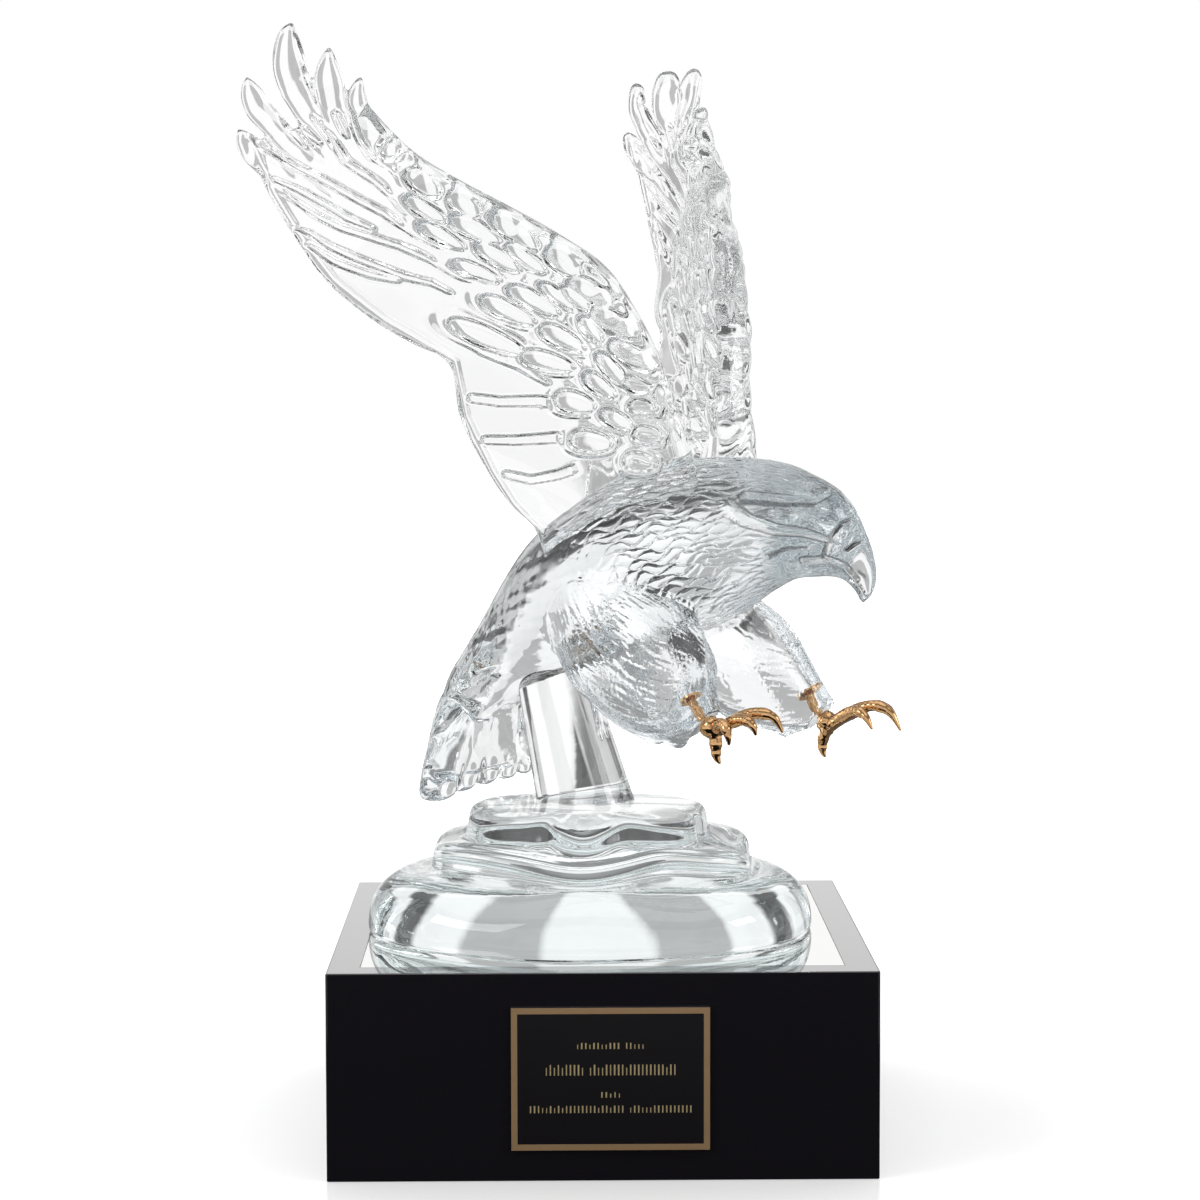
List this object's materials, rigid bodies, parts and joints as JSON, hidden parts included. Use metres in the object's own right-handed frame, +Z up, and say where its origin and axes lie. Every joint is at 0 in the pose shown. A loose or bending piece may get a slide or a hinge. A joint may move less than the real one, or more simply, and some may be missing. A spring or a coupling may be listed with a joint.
{
  "type": "glass eagle trophy",
  "caption": "Glass eagle with raised wings and metal-clad talons, landing on a glass rock set on a glossy black block with a mirrored top and a small front plate.",
  "frame": {"origin": "middle of the block's underside", "axes": "+Z up, +X to the right of a viewer who faces the plate, the viewer stands at -Y, and the eagle heads to +X and a little to -Y"},
  "size_m": [0.2707, 0.2883, 0.4547],
  "materials": {
    "black_lacquer": "high-gloss black lacquer",
    "mirror_glass": "polished mirror",
    "plate_black_gold": "black face with a thin gold border",
    "clear_glass": "clear, fire polished",
    "gold_plating": "bright gold plating"
  },
  "bodies": {
    "root": {"plinth_block": "black_lacquer", "mirror_inset": "mirror_glass", "name_plate": "plate_black_gold", "glass_base": "clear_glass", "support_post": "clear_glass", "eagle_body": "clear_glass", "right_wing": "clear_glass", "left_wing": "clear_glass", "right_talon": "gold_plating", "left_talon": "gold_plating"}
  },
  "joints": []
}
